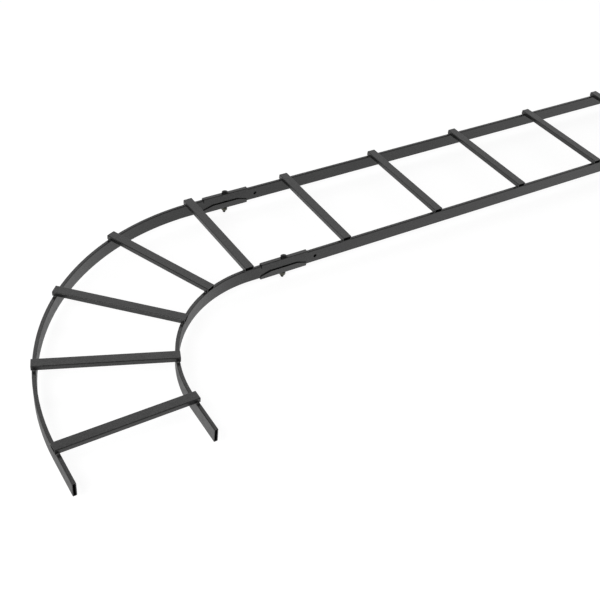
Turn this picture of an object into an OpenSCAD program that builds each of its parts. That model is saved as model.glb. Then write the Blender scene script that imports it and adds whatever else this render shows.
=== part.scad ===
// Cable ladder bend: a flat 90 degree bend of tubular ladder rack, spliced to a straight length.
// Millimetres, +Z up. The origin is under the middle of the whole part, on the floor it lies on.

/* [Ladder] */
// Clear width between the two stringers
inner_width = 304.8; // [250:0.1:320]
// Height of a stringer tube
stringer_h = 38.1; // [36:0.1:45]
// Thickness of a stringer tube
stringer_t = 9.525; // [9:0.025:12]
// Outside corner radius of a stringer tube
stringer_r = 2.4; // [0.8:0.1:3]
// Width of a rung tube, along the ladder
rung_w = 25.4; // [20:0.1:30]
// Height of a rung tube, lying on the stringers
rung_h = 12.7; // [10:0.1:16]
// Outside corner radius of a rung tube
rung_r = 2; // [0.8:0.1:3]
// Wall of every tube
tube_wall = 1.65; // [1.2:0.05:2]
// How far a rung's end stands past the stringer's outer side
rung_over = 1.5; // [0:0.1:2.5]

/* [Bend] */
// Radius of the inner stringer's inner side
bend_r = 323.85; // [290:0.05:360]
// Angle in degrees from one bend rung to the next
rung_angle = 22.5; // [21:0.1:22.5]
// Angle in degrees from the start of the arc to the first bend rung
first_angle = 1.2; // [0.8:0.1:2]
// Straight tail of the bend at the splice
tail_splice = 92.5; // [85:0.5:120]
// Straight tail of the bend at its free end
tail_free = 106; // [95:0.5:130]

/* [Straight length] */
// Length of the straight stringers, with five rungs at even spacing
straight_len = 1524; // [1270:1:1700]
// How far the straight rungs lie past the middles of the five equal bays
rung_shift = 32.1; // [0:0.1:40]
// Diameter of the hole through each straight stringer's side
hole_d = 9.5; // [8:0.1:12]
// From a straight stringer's end to the middle of that hole
hole_end = 88.5; // [82:0.5:95]

/* [Splice] */
// Length of a splice clamp
clamp_len = 136; // [124:1:140]
// Length of the deep middle of a splice clamp
clamp_flat = 78; // [60:1:84]
// Sheet thickness of a splice clamp
clamp_t = 1.9; // [1.5:0.1:2.5]
// Height of a clamp's web over the stringer edge that it straddles
clamp_stand = 2.4; // [1:0.1:3]
// Angle in degrees at which a clamp's sides flare from upright
clamp_flare = 6.5; // [4:0.1:8]
// How far a clamp's side reaches over the stringer in the middle
clamp_mid = 16; // [12:0.1:17]
// How far a clamp's side reaches over the stringer at its ends
clamp_tip = 7; // [5:0.1:9]
// Play between a clamp's sides and the stringer where its corners begin
clamp_play = 0.1; // [0.05:0.05:0.5]
// Inside radius of a clamp's folds
clamp_fold = 0.5; // [0.4:0.1:1.2]
// Diameter of the splice bolt
bolt_d = 7.9; // [7:0.1:8.2]
// Play between the bolt and the stringer ends
end_play = 1.55; // [0.5:0.05:2]
// Play round the bolt in the clamps
bolt_play = 0.4; // [0.3:0.05:0.5]
// Diameter of the bolt's domed head
head_d = 18.5; // [15:0.1:19]
// Height of the bolt's domed head
head_h = 4; // [3:0.1:5]
// Height of the square neck under that head, which stands on the clamp
neck_h = 2.4; // [2:0.1:4]
// Width across the flats of the nut
nut_af = 14.3; // [13:0.1:16]
// Height of the nut
nut_h = 8.3; // [6.5:0.1:9]
// How far the bolt's end stands out of the nut
bolt_out = 7.6; // [5:0.1:14]

/* [Hidden] */

// Ladder widths and radii
ladder_w = inner_width + 2 * stringer_t;
r_in = bend_r;
r_out = bend_r + ladder_w;
r_mid = bend_r + ladder_w / 2;
outer_face = r_out - stringer_t;
rung_len = ladder_w + 2 * rung_over;
rung_pitch = straight_len / 5;
first_rung = rung_pitch / 2 + rung_shift;
tube_in_r = tube_wall / 4;

// Splice stations
splice_gap = bolt_d + 2 * end_play;
joint_x = tail_splice + splice_gap / 2;
straight_x = tail_splice + splice_gap;
clamp_rise = clamp_stand + clamp_t;
clamp_out_r = clamp_fold + clamp_t;
clamp_level_t = clamp_t / cos(clamp_flare);
fold_steps = 12;
inner_y = r_in + stringer_t / 2;
outer_y = r_out - stringer_t / 2;
bolt_under = stringer_h + 2 * clamp_rise + nut_h + bolt_out;
head_rim = head_h / 6;
dome_h = head_h - head_rim;
dome_r = (head_d * head_d / 4 + dome_h * dome_h) / (2 * dome_h);
nut_ac = nut_af / cos(30);
nut_cone = nut_af / 13;
nut_face = nut_af * 0.95;
tip_cone = bolt_d / 8;
nut_play = bolt_play / 4;
cut = stringer_t;

// Half the width inside and outside a clamp's sides, at a height over the stringer's edge
function clamp_in(z) = stringer_t / 2 + clamp_play - (z + stringer_r) * tan(clamp_flare);
function clamp_out(z) = clamp_in(z) + clamp_level_t;

// Where the middle of the whole part is
x_min = -(r_out + rung_over);
x_max = straight_x + straight_len;
y_min = -tail_free;
y_max = outer_y + max(stringer_t / 2 + rung_over, clamp_out(-clamp_mid), head_d / 2, nut_ac / 2);
z_min = -(clamp_rise + nut_h + bolt_out);
mid_x = (x_min + x_max) / 2;
mid_y = (y_min + y_max) / 2;

coat = [0.20, 0.20, 0.21];
coat_light = [0.26, 0.26, 0.27];
bolt_grey = [0.16, 0.16, 0.17];
nut_grey = [0.30, 0.30, 0.26];

// Rectangle with round corners, from its corner at the origin
module round_rect(w, h, r) {
    union() {
        translate([r, 0]) square([w - 2 * r, h]);
        translate([0, r]) square([w, h - 2 * r]);
        translate([r, r]) circle(r = r, $fn = 48);
        translate([w - r, r]) circle(r = r, $fn = 48);
        translate([r, h - r]) circle(r = r, $fn = 48);
        translate([w - r, h - r]) circle(r = r, $fn = 48);
    }
}

// Section of a rectangular tube
module tube_section(w, h, r) {
    difference() {
        round_rect(w, h, r);
        translate([tube_wall, tube_wall]) round_rect(w - 2 * tube_wall, h - 2 * tube_wall, tube_in_r);
    }
}

// Puts a piece drawn round the bend's centre into the part's own frame
module place() {
    translate([-mid_x, -mid_y, -z_min]) children();
}

// Bent stringer: an arc between two straight tails
module bent_stringer(r) {
    union() {
        rotate([0, 0, 90]) rotate_extrude(angle = 90, $fn = 180)
            translate([r, 0]) tube_section(stringer_t, stringer_h, stringer_r);
        translate([0, r, 0]) rotate([90, 0, 90]) linear_extrude(tail_splice)
            tube_section(stringer_t, stringer_h, stringer_r);
        translate([-r - stringer_t, 0, 0]) rotate([90, 0, 0]) linear_extrude(tail_free)
            tube_section(stringer_t, stringer_h, stringer_r);
    }
}

// Straight stringer with a hole through its side near each end
module straight_stringer(y) {
    difference() {
        translate([straight_x, y, 0]) rotate([90, 0, 90]) linear_extrude(straight_len)
            tube_section(stringer_t, stringer_h, stringer_r);
        for (x = [straight_x + hole_end, straight_x + straight_len - hole_end])
            translate([x, y - cut, stringer_h / 2]) rotate([-90, 0, 0])
                cylinder(d = hole_d, h = stringer_t + 2 * cut, $fn = 48);
    }
}

// Rung across the bend, number i counted from the splice
module bend_rung(i) {
    turn = first_angle + (i - 1) * rung_angle;
    on_tail = max(0, turn - 90);
    translate([0, -r_mid * on_tail * PI / 180, stringer_h]) rotate([0, 0, 90 + min(turn, 90)])
        translate([r_in - rung_over, -rung_w / 2, 0]) rotate([90, 0, 90]) linear_extrude(rung_len)
            tube_section(rung_w, rung_h, rung_r);
}

// Rung across the straight length, number i counted from the splice
module straight_rung(i) {
    x = straight_x + first_rung + (i - 1) * rung_pitch;
    translate([x - rung_w / 2, r_out + rung_over, stringer_h]) rotate([90, 0, 0]) linear_extrude(rung_len)
        tube_section(rung_w, rung_h, rung_r);
}

// Points of a clamp's fold from its web to its side: an arc of radius r under a level top
function fold(top, top_w, r) =
    let (mid_w = top_w - r * (1 - sin(clamp_flare)) / cos(clamp_flare))
    [for (i = [0:fold_steps])
        let (turn = 90 - i * (90 - clamp_flare) / fold_steps)
        [mid_w + r * cos(turn), top - r + r * sin(turn)]];

// The same points on the other side
function mirrored(points) = [for (point = points) [-point[0], point[1]]];

// The same points from last to first
function turned(points) = [for (i = [len(points) - 1:-1:0]) points[i]];

// Folded section of a splice clamp, the stringer's edge on the axis
module clamp_section() {
    outside = concat(fold(clamp_rise, clamp_out(clamp_rise), clamp_out_r), [[clamp_out(-clamp_mid), -clamp_mid]]);
    inside = concat(fold(clamp_stand, clamp_in(clamp_stand), clamp_fold), [[clamp_in(-clamp_mid), -clamp_mid]]);
    polygon(concat(outside, turned(inside), mirrored(inside), turned(mirrored(outside))));
}

// Boat-shaped splice clamp that straddles a stringer's edge at z = 0
module clamp() {
    difference() {
        intersection() {
            translate([-clamp_len / 2, 0, 0]) rotate([90, 0, 90]) linear_extrude(clamp_len) clamp_section();
            rotate([90, 0, 0]) linear_extrude(2 * clamp_out(-clamp_mid) + 2 * cut, center = true) polygon([
                [-clamp_len / 2, clamp_rise + cut], [clamp_len / 2, clamp_rise + cut],
                [clamp_len / 2, -clamp_tip], [clamp_flat / 2, -clamp_mid],
                [-clamp_flat / 2, -clamp_mid], [-clamp_len / 2, -clamp_tip]]);
        }
        translate([0, 0, -cut]) cylinder(d = bolt_d + 2 * bolt_play, h = clamp_rise + 2 * cut, $fn = 48);
    }
}

module clamp_top(y) {
    translate([joint_x, y, stringer_h]) clamp();
}

module clamp_bottom(y) {
    translate([joint_x, y, 0]) mirror([0, 0, 1]) clamp();
}

// Domed head of a bolt, its underside at z = 0
module domed_head() {
    intersection() {
        translate([0, 0, head_h - dome_r]) sphere(r = dome_r, $fn = 96);
        cylinder(d = head_d, h = head_h, $fn = 64);
    }
}

// Upright bolt through both clamps: domed head, square neck on the upper clamp, round shank
module splice_bolt(y) {
    translate([joint_x, y, stringer_h + clamp_rise]) union() {
        translate([0, 0, neck_h]) domed_head();
        translate([-bolt_d / 2, -bolt_d / 2, 0]) cube([bolt_d, bolt_d, neck_h + head_rim]);
        translate([0, 0, tip_cone - bolt_under])
            cylinder(d = bolt_d, h = bolt_under - tip_cone + neck_h / 2, $fn = 48);
        translate([0, 0, -bolt_under])
            cylinder(d1 = bolt_d - 2 * tip_cone, d2 = bolt_d, h = tip_cone, $fn = 48);
    }
}

// Hexagon nut under the lower clamp, with its corners turned off at the free end
module splice_nut(y) {
    translate([joint_x, y, -clamp_rise]) mirror([0, 0, 1]) difference() {
        intersection() {
            rotate([0, 0, 30]) cylinder(d = nut_ac, h = nut_h, $fn = 6);
            union() {
                cylinder(d = nut_ac + nut_cone, h = nut_h - nut_cone, $fn = 64);
                translate([0, 0, nut_h - nut_cone])
                    cylinder(d1 = nut_ac + nut_cone, d2 = nut_face, h = nut_cone, $fn = 64);
            }
        }
        translate([0, 0, -cut]) cylinder(d = bolt_d + 2 * nut_play, h = nut_h + 2 * cut, $fn = 48);
    }
}

module bend_outer_stringer() { color(coat_light) place() bent_stringer(outer_face); }
module bend_inner_stringer() { color(coat_light) place() bent_stringer(r_in); }
module bend_rung_1() { color(coat) place() bend_rung(1); }
module bend_rung_2() { color(coat) place() bend_rung(2); }
module bend_rung_3() { color(coat) place() bend_rung(3); }
module bend_rung_4() { color(coat) place() bend_rung(4); }
module bend_rung_5() { color(coat) place() bend_rung(5); }
module straight_outer_stringer() { color(coat_light) place() straight_stringer(outer_face); }
module straight_inner_stringer() { color(coat_light) place() straight_stringer(r_in); }
module straight_rung_1() { color(coat) place() straight_rung(1); }
module straight_rung_2() { color(coat) place() straight_rung(2); }
module straight_rung_3() { color(coat) place() straight_rung(3); }
module straight_rung_4() { color(coat) place() straight_rung(4); }
module straight_rung_5() { color(coat) place() straight_rung(5); }
module outer_clamp_top() { color(coat_light) place() clamp_top(outer_y); }
module outer_clamp_bottom() { color(coat_light) place() clamp_bottom(outer_y); }
module outer_bolt() { color(bolt_grey) place() splice_bolt(outer_y); }
module outer_nut() { color(nut_grey) place() splice_nut(outer_y); }
module inner_clamp_top() { color(coat_light) place() clamp_top(inner_y); }
module inner_clamp_bottom() { color(coat_light) place() clamp_bottom(inner_y); }
module inner_bolt() { color(bolt_grey) place() splice_bolt(inner_y); }
module inner_nut() { color(nut_grey) place() splice_nut(inner_y); }

bend_outer_stringer();
bend_inner_stringer();
bend_rung_1();
bend_rung_2();
bend_rung_3();
bend_rung_4();
bend_rung_5();
straight_outer_stringer();
straight_inner_stringer();
straight_rung_1();
straight_rung_2();
straight_rung_3();
straight_rung_4();
straight_rung_5();
outer_clamp_top();
outer_clamp_bottom();
outer_bolt();
outer_nut();
inner_clamp_top();
inner_clamp_bottom();
inner_bolt();
inner_nut();
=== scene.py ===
import math
import random

import bmesh
import bpy
from mathutils import Matrix, Vector


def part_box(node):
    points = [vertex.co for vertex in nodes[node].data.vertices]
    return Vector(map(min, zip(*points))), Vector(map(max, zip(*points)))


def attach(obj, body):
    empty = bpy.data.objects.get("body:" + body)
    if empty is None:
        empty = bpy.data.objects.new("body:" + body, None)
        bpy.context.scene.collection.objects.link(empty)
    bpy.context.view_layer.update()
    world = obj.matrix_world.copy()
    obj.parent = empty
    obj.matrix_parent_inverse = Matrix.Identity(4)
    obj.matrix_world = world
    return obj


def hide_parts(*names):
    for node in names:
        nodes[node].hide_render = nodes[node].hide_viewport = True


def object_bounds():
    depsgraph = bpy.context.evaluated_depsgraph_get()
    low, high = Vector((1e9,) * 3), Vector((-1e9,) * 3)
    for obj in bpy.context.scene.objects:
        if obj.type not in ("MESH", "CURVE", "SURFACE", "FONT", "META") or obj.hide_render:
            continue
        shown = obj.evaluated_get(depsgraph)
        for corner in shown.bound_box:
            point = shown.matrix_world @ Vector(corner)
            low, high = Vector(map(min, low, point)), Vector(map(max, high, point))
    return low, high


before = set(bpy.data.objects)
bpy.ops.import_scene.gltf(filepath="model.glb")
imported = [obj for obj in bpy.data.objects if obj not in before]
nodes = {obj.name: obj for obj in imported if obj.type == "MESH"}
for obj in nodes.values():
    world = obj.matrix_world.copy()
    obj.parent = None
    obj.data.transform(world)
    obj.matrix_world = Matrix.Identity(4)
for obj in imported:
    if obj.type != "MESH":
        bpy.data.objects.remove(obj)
cad_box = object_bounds()

MM = 0.001

# Sizes of the ladder in metres, as in the part's source
STRINGER_T = 9.525 * MM
RUNG_W = 25.4 * MM
RUNG_R = 2.0 * MM
BOLT_R = 3.95 * MM
HEAD_R = 9.25 * MM
HEAD_H = 4.0 * MM
NECK_H = 2.4 * MM
NUT_AF = 14.3 * MM

# Angles of the bend rungs from the splice, in degrees
BEND_FIRST = 1.2
BEND_STEP = 22.5
RUNGS = 5

# Weld beads: lengths in metres
BEAD_OUT = 3.0 * MM
BEAD_UP = 2.6 * MM
BEAD_HALF = STRINGER_T / 2 - 1.0 * MM
BEAD_SLIP = 0.3 * MM
BEAD_SINK = 0.9 * MM
BEAD_ROOT = RUNG_R * 0.7
BEAD_TUCK = 0.3 * MM

# Weld beads: points along and round them, sizes to draw from, and the form of ends, ripples and section
BEAD_RINGS = 27
BEAD_ARC = 9
BEAD_SIZES = (0.9, 1.12)
BEAD_BLUNT = 3.2
BEAD_LEAST = 0.16
BEAD_RIPPLES = 7
BEAD_RIPPLE = 0.055
BEAD_HOLLOW = 1.7
BEAD_SHARP = 50
BEAD_SEED = 11

# Powder coat: greys, and the red, green and blue shares of a grey in dark, light, flecked and thin parts
STRINGER_GREY = 0.0135
RUNG_GREY = 0.0135
CLAMP_GREY = 0.018
COAT_DARK = (0.8, 0.8, 0.8)
COAT_LIGHT = (1.2, 1.2, 1.2)
COAT_FLECK = (2.4, 2.4, 2.4)
COAT_THIN = (2.4, 2.4, 2.35)
COAT_SHINE = 0.5
COAT_SMOOTH = 0.18
COAT_ROUGH = 0.28
ALONG_STRINGER = (0.4, 1.0, 1.0)
EVEN = (1.0, 1.0, 1.0)

# Features per metre in the coat's tone, flecks, wear, gloss, waves and grain
COAT_TONE_SCALE = 7.0
COAT_FLECK_SCALE = 210.0
COAT_WEAR_SCALE = 55.0
COAT_GLOSS_SCALE = 90.0
COAT_WAVE_SCALE = 260.0
COAT_GRAIN_SCALE = 1000.0

# Most of a fleck's and of the wear's colour that shows, and the noise where each starts and is full
FLECK_MOST = 0.8
FLECK_FROM = 0.42
FLECK_FULL = 0.72
WEAR_MOST = 0.5
WEAR_FROM = 0.45
WEAR_FULL = 0.7

# Depth and strength of the coat's waves and grain, and of the plating's grain
COAT_WAVE_BUMP = (0.3 * MM, 0.4)
COAT_GRAIN_BUMP = (0.15 * MM, 0.8)
PLATE_GRAIN_BUMP = (0.04 * MM, 0.3)

# How level a face is, from 0 upright to 1 flat, where the coat starts to thin, is thin and is full again
EDGE_START = 0.15
EDGE_THIN_FROM = 0.45
EDGE_THIN_TO = 0.8
EDGE_END = 0.98

# Plating of the bolts and nuts, and features per metre in its tone, gloss and grain
BOLT_PLATING = {
    "dark": (0.004, 0.004, 0.004, 1.0),
    "light": (0.011, 0.011, 0.0105, 1.0),
    "metal": 0.0,
    "shine": 0.25,
    "smooth": 0.16,
    "rough": 0.28,
}
NUT_PLATING = {
    "dark": (0.06, 0.06, 0.048, 1.0),
    "light": (0.12, 0.12, 0.098, 1.0),
    "metal": 0.8,
    "shine": 0.5,
    "smooth": 0.34,
    "rough": 0.52,
}
PLATE_TONE_SCALE = 160.0
PLATE_GLOSS_SCALE = 700.0
PLATE_GRAIN_SCALE = 1500.0

# Gloss of the coat: roughness that a slanting view adds, and where that starts and ends
SLANT_LOSS = 0.3
SLANT_FROM = 0.5
SLANT_FULL = 0.85

# Bolt and nut details
ROUND = 72
DOME_H = HEAD_H * 5 / 6
DOME_R = (HEAD_R ** 2 + DOME_H ** 2) / (2 * DOME_H)
DOME_RINGS = 12
RIM_EDGE = 0.15 * MM
NECK_CORNER_R = BOLT_R * 1.33
SHANK_R = BOLT_R * 0.97
THREAD_PITCH = 25.4 / 18 * MM
THREAD_DEPTH = 0.75 * MM
THREAD_LENGTH = 26 * MM
THREAD_RUN_OUT = 1.5 * THREAD_PITCH
THREAD_FLANK = 1.4
THREAD_CREST = 0.2
RINGS_PER_TURN = 10
TIP_CONE = 0.98 * MM
CHAMFER_R = NUT_AF * 0.475
CHAMFER_SLOPE = math.tan(math.radians(30))
NUT_BORE = BOLT_R + 0.1 * MM
NUT_LEAD = 0.6 * MM
FASTENER_SHARP = 35

# Camera, as the photograph sees the ladder: degrees, metres, millimetres of lens and shares of the frame
VIEW_HEADING = 55.828
VIEW_DROP = 41.113
VIEW_ROLL = 5.617
VIEW_POINT = Vector((-0.5063, -0.07635, 0.0202))
VIEW_DISTANCE = 2.377
VIEW_LENS = 58.484
VIEW_SENSOR = 36.0
VIEW_SHIFT = (0.05001, 0.02248)

# Places of the colour sockets on a mix node
MIX_COLOURS = slice(6, 8)
MIX_RESULT = 2

# Light and floor: a pale room, white at its foot, brightest half way up its walls and dark overhead
SKY_FOOT = 1.0
SKY_LOW = 0.7
SKY_HIGH = 1.64
SKY_FOOT_Z = 0.12
SKY_LOW_Z = 0.5
SKY_HIGH_Z = 0.72
SKY_DARK = 0.15
SKY_DARK_TOWARDS = (-0.2, -0.38, 0.9)
SKY_DARK_FROM = 0.34
SKY_DARK_FULL = 0.54
FLOOR_HALF = 14.0
FLOOR_GAP = 0.1 * MM
FLOOR_COLOUR = (0.8, 0.8, 0.8, 1.0)
FLOOR_SHOWN = (0.3, 0.3, 0.3, 1.0)
FLOOR_GLOW = 0.86
LAMPS = {
    "key_left": {"at": (-2.6, -0.9, 1.9), "aim": (-0.5, 0.1, 0.0), "across": 1.6, "watts": 26.0},
}


# Mesh helpers
def loft(bm, rings, closed=False):
    """Joins rings of points with quads; the ends get caps unless the rings close on themselves."""
    loops = [[bm.verts.new(p) for p in ring] for ring in rings]
    pairs = list(zip(loops, loops[1:]))
    if closed:
        pairs.append((loops[-1], loops[0]))
    else:
        bm.faces.new(loops[0])
        bm.faces.new(loops[-1])
    for a, b in pairs:
        for i in range(len(a)):
            j = (i + 1) % len(a)
            bm.faces.new((a[i], a[j], b[j], b[i]))


def finish_piece(bm, name, material, sharp_angle):
    """Turns a bmesh into a piece of the object that rides on the root body."""
    bmesh.ops.recalc_face_normals(bm, faces=bm.faces)
    mesh = bpy.data.meshes.new(name)
    bm.to_mesh(mesh)
    bm.free()
    mesh.polygons.foreach_set("use_smooth", [True] * len(mesh.polygons))
    mesh.set_sharp_from_angle(angle=math.radians(sharp_angle))
    mesh.materials.append(material)
    piece = bpy.data.objects.new(name, mesh)
    bpy.context.scene.collection.objects.link(piece)
    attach(piece, "root")
    return piece


def round_ring(centre, z, radius):
    """Points of one ring about an upright axis; radius is a number or a function of the angle."""
    points = []
    for i in range(ROUND):
        angle = 2 * math.pi * i / ROUND
        r = radius(angle) if callable(radius) else radius
        points.append((centre.x + r * math.cos(angle), centre.y + r * math.sin(angle), z))
    return points


def hex_radius(angle):
    """Distance from the axis to the side of a hexagon with a flat at angle 0."""
    sixth = math.pi / 3
    return NUT_AF / 2 / math.cos((angle + sixth / 2) % sixth - sixth / 2)


def chamfer_ring(centre, face_z, inward):
    """The scalloped edge where a cone cuts the corners of a hexagon off near a face."""
    points = []
    for x, y, _ in round_ring(centre, face_z, hex_radius):
        reach = math.hypot(x - centre.x, y - centre.y) - CHAMFER_R
        points.append((x, y, face_z + inward * max(0.0, reach) * CHAMFER_SLOPE))
    return points


# Material helpers
def new_material(name):
    """An empty node material: its tree, its Principled shader and its object coordinates."""
    material = bpy.data.materials.new(name)
    material.use_nodes = True
    tree = material.node_tree
    shader = tree.nodes["Principled BSDF"]
    where = tree.nodes.new("ShaderNodeTexCoord").outputs["Object"]
    return material, tree, shader, where


def noise(tree, where, scale, detail=2.0, stretch=None):
    """Noise of so many features per metre."""
    if stretch:
        mapping = tree.nodes.new("ShaderNodeMapping")
        mapping.inputs["Scale"].default_value = stretch
        tree.links.new(where, mapping.inputs["Vector"])
        where = mapping.outputs["Vector"]
    node = tree.nodes.new("ShaderNodeTexNoise")
    node.inputs["Scale"].default_value = scale
    node.inputs["Detail"].default_value = detail
    tree.links.new(where, node.inputs["Vector"])
    return node.outputs["Fac"]


def spread(tree, value, low, high, start=0.3, end=0.7):
    """Maps a value that runs from start to end onto low to high."""
    node = tree.nodes.new("ShaderNodeMapRange")
    node.inputs["From Min"].default_value = start
    node.inputs["From Max"].default_value = end
    node.inputs["To Min"].default_value = low
    node.inputs["To Max"].default_value = high
    tree.links.new(value, node.inputs["Value"])
    return node.outputs["Result"]


def combine(tree, operation, a, b):
    """Works one value out of two, with a math node."""
    node = tree.nodes.new("ShaderNodeMath")
    node.operation = operation
    tree.links.new(a, node.inputs[0])
    tree.links.new(b, node.inputs[1])
    return node.outputs["Value"]


def times(tree, a, b):
    return combine(tree, "MULTIPLY", a, b)


def plus(tree, a, b):
    return combine(tree, "ADD", a, b)


def slant(tree):
    """Loss of gloss where the coat is seen at a slant: its texture stands in the way."""
    weight = tree.nodes.new("ShaderNodeLayerWeight")
    weight.inputs["Blend"].default_value = 0.5
    return spread(tree, weight.outputs["Facing"], 0.0, SLANT_LOSS, SLANT_FROM, SLANT_FULL)


def blend(tree, share, first, second):
    """Colour between two others; each is a colour or an output."""
    node = tree.nodes.new("ShaderNodeMix")
    node.data_type = "RGBA"
    tree.links.new(share, node.inputs["Factor"])
    for socket, colour in zip(node.inputs[MIX_COLOURS], (first, second)):
        if isinstance(colour, tuple):
            socket.default_value = colour
        else:
            tree.links.new(colour, socket)
    return node.outputs[MIX_RESULT]


def bump(tree, height, depth, strength, under=None):
    """Bent normals for a height that runs over so many metres, on top of others if given."""
    node = tree.nodes.new("ShaderNodeBump")
    node.inputs["Distance"].default_value = depth
    node.inputs["Strength"].default_value = strength
    tree.links.new(height, node.inputs["Height"])
    if under:
        tree.links.new(under, node.inputs["Normal"])
    return node.outputs["Normal"]


def round_edges(tree):
    """How much a point lies on the rolled corners between level and upright sides, from 0 to 1."""
    split = tree.nodes.new("ShaderNodeSeparateXYZ")
    tree.links.new(tree.nodes.new("ShaderNodeNewGeometry").outputs["Normal"], split.inputs["Vector"])
    size = tree.nodes.new("ShaderNodeMath")
    size.operation = "ABSOLUTE"
    tree.links.new(split.outputs["Z"], size.inputs[0])
    rise = spread(tree, size.outputs["Value"], 0.0, 1.0, EDGE_START, EDGE_THIN_FROM)
    fall = spread(tree, size.outputs["Value"], 1.0, 0.0, EDGE_THIN_TO, EDGE_END)
    return times(tree, rise, fall)


def tint(grey, shares):
    """A colour from the shares of a grey in red, green and blue."""
    return tuple(grey * share for share in shares) + (1.0,)


def powder_coat(name, grey, stretch):
    """Black powder coat with a soft gloss: mottled tone, fine grain, thin coat on the corners."""
    material, tree, shader, where = new_material(name)
    drift = spread(tree, noise(tree, where, COAT_TONE_SCALE, 3.0, stretch), 0.0, 1.0)
    colour = blend(tree, drift, tint(grey, COAT_DARK), tint(grey, COAT_LIGHT))
    specks = noise(tree, where, COAT_FLECK_SCALE, 2.0)
    mottle = spread(tree, specks, 0.0, FLECK_MOST, FLECK_FROM, FLECK_FULL)
    colour = blend(tree, mottle, colour, tint(grey, COAT_FLECK))
    patches = noise(tree, where, COAT_WEAR_SCALE, 3.0)
    wear = spread(tree, patches, 0.0, WEAR_MOST, WEAR_FROM, WEAR_FULL)
    colour = blend(tree, times(tree, round_edges(tree), wear), colour, tint(grey, COAT_THIN))
    tree.links.new(colour, shader.inputs["Base Color"])
    gloss = spread(tree, noise(tree, where, COAT_GLOSS_SCALE, 3.0), COAT_SMOOTH, COAT_ROUGH)
    tree.links.new(plus(tree, gloss, slant(tree)), shader.inputs["Roughness"])
    shader.inputs["Specular IOR Level"].default_value = COAT_SHINE
    waves = bump(tree, noise(tree, where, COAT_WAVE_SCALE, 2.0), *COAT_WAVE_BUMP)
    grain = bump(tree, noise(tree, where, COAT_GRAIN_SCALE, 2.0), *COAT_GRAIN_BUMP, waves)
    tree.links.new(grain, shader.inputs["Normal"])
    return material


def plated_steel(name, dark, light, metal, shine, smooth, rough):
    """Dark plated fastener steel: cloudy tone and fine marks."""
    material, tree, shader, where = new_material(name)
    cloud = spread(tree, noise(tree, where, PLATE_TONE_SCALE, 4.0), 0.0, 1.0)
    tree.links.new(blend(tree, cloud, dark, light), shader.inputs["Base Color"])
    gloss = spread(tree, noise(tree, where, PLATE_GLOSS_SCALE, 3.0), smooth, rough)
    tree.links.new(gloss, shader.inputs["Roughness"])
    shader.inputs["Metallic"].default_value = metal
    shader.inputs["Specular IOR Level"].default_value = shine
    grain = bump(tree, noise(tree, where, PLATE_GRAIN_SCALE, 2.0), *PLATE_GRAIN_BUMP)
    tree.links.new(grain, shader.inputs["Normal"])
    return material


# Weld beads
def weld_bead(bm, corner, along, out, draw):
    """A rippled fillet bead in the corner between a rung's side and a stringer's top."""
    up = Vector((0.0, 0.0, 1.0))
    size = draw.uniform(*BEAD_SIZES)
    slip = draw.uniform(-BEAD_SLIP, BEAD_SLIP)
    phase = draw.uniform(0.0, 2 * math.pi)
    rings = []
    for k in range(BEAD_RINGS):
        run = 2 * k / (BEAD_RINGS - 1) - 1
        swell = math.sqrt(max(BEAD_LEAST, 1 - abs(run) ** BEAD_BLUNT))
        ripple = 1 + BEAD_RIPPLE * math.cos(BEAD_RIPPLES * math.pi * run + phase)
        reach = size * swell * ripple
        middle = corner + along * (run * BEAD_HALF + slip)
        ring = [middle - out * BEAD_ROOT - up * BEAD_SINK]
        for i in range(BEAD_ARC):
            turn = math.pi / 2 * i / (BEAD_ARC - 1)
            level = BEAD_UP * reach * math.sin(turn) ** BEAD_HOLLOW
            lean = BEAD_OUT * reach * math.cos(turn) ** BEAD_HOLLOW
            foot = BEAD_SINK * (1 - math.sin(turn)) ** 3
            ring.append(middle + out * (lean - BEAD_TUCK * math.sin(turn)) + up * (level - foot))
        rings.append(ring)
    loft(bm, rings)


def weld_rung(name, material, draw):
    """The four beads that hold one rung: both its sides, on both stringers."""
    low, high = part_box(name)
    kind, number = name.rsplit("_", 1)
    turn = 90.0
    if kind == "bend_rung":
        turn = 90.0 + min(90.0, BEND_FIRST + (int(number) - 1) * BEND_STEP)
    along = Vector((math.cos(math.radians(turn)), math.sin(math.radians(turn)), 0.0))
    side = Vector((-along.y, along.x, 0.0))
    middle = Vector(((low.x + high.x) / 2, (low.y + high.y) / 2, low.z))
    bm = bmesh.new()
    for end in (-1, 1):
        for hand in (-1, 1):
            corner = middle + along * end * STRINGER_MID + side * hand * RUNG_W / 2
            weld_bead(bm, corner, along, side * hand, draw)
    return finish_piece(bm, "weld_" + name, material, BEAD_SHARP)


# Bolts and nuts
def thread_radius(z, start, tip):
    """The bolt's radius at a height, as a function of the angle; the thread runs out at its start."""
    run_out = min(1.0, max(0.0, (start - z) / THREAD_RUN_OUT))
    cone = SHANK_R - TIP_CONE + (z - tip)

    def radius(angle):
        turn = (z / THREAD_PITCH + angle / (2 * math.pi)) % 1.0
        groove = min(1.0, max(0.0, THREAD_FLANK * abs(2 * turn - 1) - THREAD_CREST))
        return min(cone, SHANK_R - THREAD_DEPTH * groove * run_out)

    return radius


def neck_radius(angle):
    """Distance from the axis to the side of the bolt's square neck, with its corners eased."""
    return min(NECK_CORNER_R, BOLT_R / max(abs(math.cos(angle)), abs(math.sin(angle))))


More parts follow.
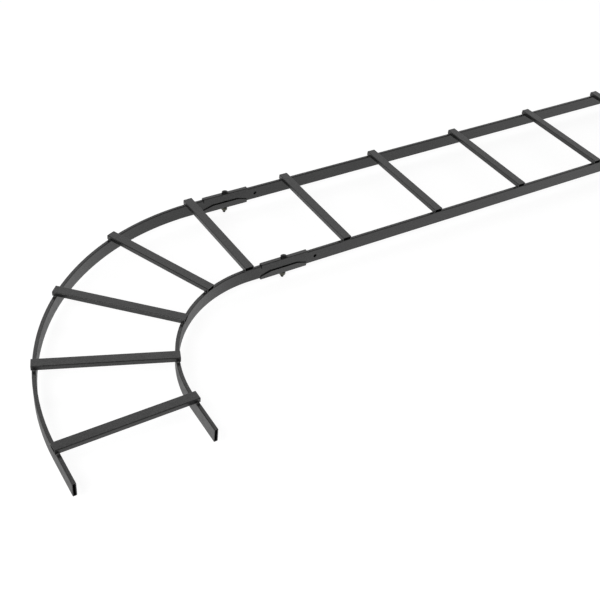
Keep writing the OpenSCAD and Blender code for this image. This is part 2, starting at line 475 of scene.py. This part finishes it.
def splice_bolt(name, material):
    """Domed head, square neck, plain shank and a threaded end."""
    low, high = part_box(name)
    centre = (low + high) / 2
    under = high.z - HEAD_H
    seat = under - NECK_H
    start = low.z + THREAD_LENGTH
    rings = []
    for k in range(1, DOME_RINGS + 1):
        r = (HEAD_R - RIM_EDGE) * k / DOME_RINGS
        rings.append(round_ring(centre, high.z - DOME_R + math.sqrt(DOME_R ** 2 - r ** 2), r))
    rings += [
        round_ring(centre, high.z - DOME_H - RIM_EDGE, HEAD_R),
        round_ring(centre, under + RIM_EDGE, HEAD_R),
        round_ring(centre, under, HEAD_R - RIM_EDGE),
        round_ring(centre, under, neck_radius),
        round_ring(centre, seat, neck_radius),
        round_ring(centre, seat, SHANK_R),
    ]
    steps = round(THREAD_LENGTH / THREAD_PITCH * RINGS_PER_TURN)
    for k in range(steps + 1):
        z = start - THREAD_LENGTH * k / steps
        rings.append(round_ring(centre, z, thread_radius(z, start, low.z)))
    bm = bmesh.new()
    loft(bm, rings)
    piece = finish_piece(bm, name + "_threaded", material, FASTENER_SHARP)
    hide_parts(name)
    return piece


def splice_nut(name, material):
    """Hexagon nut with turned corners and a bore that is countersunk at both ends."""
    low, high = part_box(name)
    centre = (low + high) / 2
    rings = [
        round_ring(centre, high.z, NUT_BORE + NUT_LEAD),
        round_ring(centre, high.z, CHAMFER_R),
        chamfer_ring(centre, high.z, -1),
        chamfer_ring(centre, low.z, 1),
        round_ring(centre, low.z, CHAMFER_R),
        round_ring(centre, low.z, NUT_BORE + NUT_LEAD),
        round_ring(centre, low.z + NUT_LEAD, NUT_BORE),
        round_ring(centre, high.z - NUT_LEAD, NUT_BORE),
    ]
    bm = bmesh.new()
    loft(bm, rings, closed=True)
    piece = finish_piece(bm, name + "_chamfered", material, FASTENER_SHARP)
    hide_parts(name)
    return piece


# Stage
def seen_ray(tree):
    """1 for the rays that show the background: camera, glossy and transmission rays."""
    path = tree.nodes.new("ShaderNodeLightPath")
    total = path.outputs["Is Camera Ray"]
    for ray in ("Is Glossy Ray", "Is Transmission Ray"):
        total = combine(tree, "MAXIMUM", total, path.outputs[ray])
    return total


def make_world():
    """Light from a pale room whose brightness goes by height, with a dark patch overhead."""
    world = bpy.data.worlds.new("studio")
    bpy.context.scene.world = world
    world.use_nodes = True
    tree = world.node_tree
    tree.nodes.clear()
    where = tree.nodes.new("ShaderNodeTexCoord").outputs["Generated"]
    split = tree.nodes.new("ShaderNodeSeparateXYZ")
    tree.links.new(where, split.inputs["Vector"])
    height = split.outputs["Z"]
    foot = spread(tree, height, SKY_FOOT - SKY_LOW, 0.0, SKY_FOOT_Z, SKY_LOW_Z)
    wall = plus(tree, foot, spread(tree, height, SKY_LOW, SKY_HIGH, SKY_LOW_Z, SKY_HIGH_Z))
    towards = tree.nodes.new("ShaderNodeVectorMath")
    towards.operation = "DOT_PRODUCT"
    towards.inputs[1].default_value = Vector(SKY_DARK_TOWARDS).normalized()
    tree.links.new(where, towards.inputs[0])
    ceiling = spread(tree, towards.outputs["Value"], 1.0, SKY_DARK, SKY_DARK_FROM, SKY_DARK_FULL)
    low = spread(tree, height, 1.0, 0.0, SKY_FOOT_Z, SKY_LOW_Z)
    strength = times(tree, wall, combine(tree, "MAXIMUM", ceiling, low))
    light = tree.nodes.new("ShaderNodeBackground")
    light.inputs["Color"].default_value = (1.0, 1.0, 1.0, 1.0)
    tree.links.new(strength, light.inputs["Strength"])
    output = tree.nodes.new("ShaderNodeOutputWorld")
    tree.links.new(light.outputs["Background"], output.inputs["Surface"])


def make_floor():
    """A white floor that bounces light, shows white and keeps the ladder's shadow."""
    material = bpy.data.materials.new("floor_white")
    material.use_nodes = True
    tree = material.node_tree
    tree.nodes.clear()
    bounce = tree.nodes.new("ShaderNodeBsdfDiffuse")
    bounce.inputs["Color"].default_value = FLOOR_COLOUR
    lit = tree.nodes.new("ShaderNodeBsdfDiffuse")
    lit.inputs["Color"].default_value = FLOOR_SHOWN
    glow = tree.nodes.new("ShaderNodeEmission")
    glow.inputs["Strength"].default_value = FLOOR_GLOW
    shown = tree.nodes.new("ShaderNodeAddShader")
    tree.links.new(lit.outputs["BSDF"], shown.inputs[0])
    tree.links.new(glow.outputs["Emission"], shown.inputs[1])
    mix = tree.nodes.new("ShaderNodeMixShader")
    tree.links.new(seen_ray(tree), mix.inputs["Fac"])
    tree.links.new(bounce.outputs["BSDF"], mix.inputs[1])
    tree.links.new(shown.outputs["Shader"], mix.inputs[2])
    output = tree.nodes.new("ShaderNodeOutputMaterial")
    tree.links.new(mix.outputs["Shader"], output.inputs["Surface"])
    bm = bmesh.new()
    bmesh.ops.create_grid(bm, x_segments=1, y_segments=1, size=FLOOR_HALF)
    mesh = bpy.data.meshes.new("floor")
    bm.to_mesh(mesh)
    bm.free()
    mesh.materials.append(material)
    floor = bpy.data.objects.new("floor", mesh)
    bpy.context.scene.collection.objects.link(floor)
    floor.location.z = cad_box[0].z - FLOOR_GAP


def make_lamp(name, at, aim, across, watts):
    """A round soft lamp, so many metres across."""
    data = bpy.data.lights.new(name, "AREA")
    data.shape = "DISK"
    data.size = across
    data.energy = watts
    lamp = bpy.data.objects.new(name, data)
    bpy.context.scene.collection.objects.link(lamp)
    lamp.location = at
    lamp.rotation_euler = (Vector(aim) - Vector(at)).to_track_quat("-Z", "Y").to_euler()


def make_camera():
    """A camera that looks at the view point along the heading, tipped down and rolled."""
    heading, drop, roll = (math.radians(a) for a in (VIEW_HEADING, VIEW_DROP, VIEW_ROLL))
    ahead = Vector((
        math.cos(heading) * math.cos(drop),
        math.sin(heading) * math.cos(drop),
        -math.sin(drop),
    ))
    level = Vector((math.sin(heading), -math.cos(heading), 0.0))
    upward = level.cross(ahead)
    right = level * math.cos(roll) + upward * math.sin(roll)
    up = upward * math.cos(roll) - level * math.sin(roll)
    data = bpy.data.cameras.new("photo_camera")
    data.sensor_width = VIEW_SENSOR
    data.lens = VIEW_LENS
    data.shift_x, data.shift_y = VIEW_SHIFT
    camera = bpy.data.objects.new("photo_camera", data)
    bpy.context.scene.collection.objects.link(camera)
    turned = Matrix((right, up, -ahead)).transposed().to_4x4()
    camera.matrix_world = Matrix.Translation(VIEW_POINT - ahead * VIEW_DISTANCE) @ turned
    bpy.context.scene.camera = camera


# Looks of the pieces
inner_low, inner_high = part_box("straight_inner_stringer")
outer_low, outer_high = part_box("straight_outer_stringer")
STRINGER_MID = (outer_low.y + outer_high.y - inner_low.y - inner_high.y) / 4

stringer_coat = powder_coat("stringer_powder_coat", STRINGER_GREY, ALONG_STRINGER)
rung_coat = powder_coat("rung_powder_coat", RUNG_GREY, EVEN)
clamp_coat = powder_coat("clamp_powder_coat", CLAMP_GREY, EVEN)
bolt_plate = plated_steel("bolt_plating", **BOLT_PLATING)
nut_plate = plated_steel("nut_plating", **NUT_PLATING)

for name, body in nodes.items():
    coat = stringer_coat
    if "rung" in name:
        coat = rung_coat
    if "clamp" in name:
        coat = clamp_coat
    for slot in body.material_slots:
        slot.material = coat

beads = random.Random(BEAD_SEED)
for kind in ("bend_rung_", "straight_rung_"):
    for number in range(1, RUNGS + 1):
        weld_rung(kind + str(number), rung_coat, beads)
for place in ("outer", "inner"):
    splice_bolt(place + "_bolt", bolt_plate)
    splice_nut(place + "_nut", nut_plate)

make_world()
make_floor()
make_camera()
for name, lamp in LAMPS.items():
    make_lamp(name, **lamp)
bpy.context.scene.view_settings.view_transform = "Standard"
